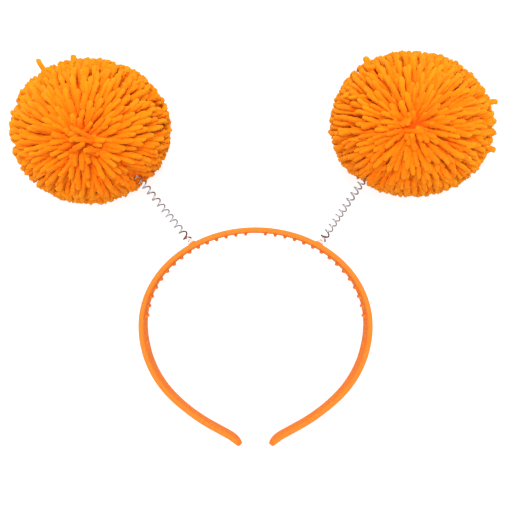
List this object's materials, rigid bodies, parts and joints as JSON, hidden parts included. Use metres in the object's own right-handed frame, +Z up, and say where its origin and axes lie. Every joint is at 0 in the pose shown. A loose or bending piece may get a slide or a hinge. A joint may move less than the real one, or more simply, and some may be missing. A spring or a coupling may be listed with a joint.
{
  "type": "head bopper",
  "caption": "Open plastic headband with comb teeth inside and, on each side, a yarn pompom standing off it on a coiled wire spring.",
  "frame": {"origin": "middle of the footprint, on the surface that the bopper lies on", "axes": "+X across the head from the left pompom to the right one, +Y along the surface from the band's tips to the pompoms, +Z up off the surface"},
  "size_m": [0.2806, 0.227, 0.0768],
  "materials": {
    "band_plastic": "moulded, satin gloss",
    "clear_glue": "clear set glue",
    "spring_wire": "bright drawn wire",
    "yarn": "soft twisted yarn with cut ends"
  },
  "bodies": {
    "root": {"headband": "band_plastic", "glue_left": "clear_glue", "glue_right": "clear_glue", "spring_left": "spring_wire", "spring_right": "spring_wire", "pompom_left": "yarn", "pompom_right": "yarn"}
  },
  "joints": []
}
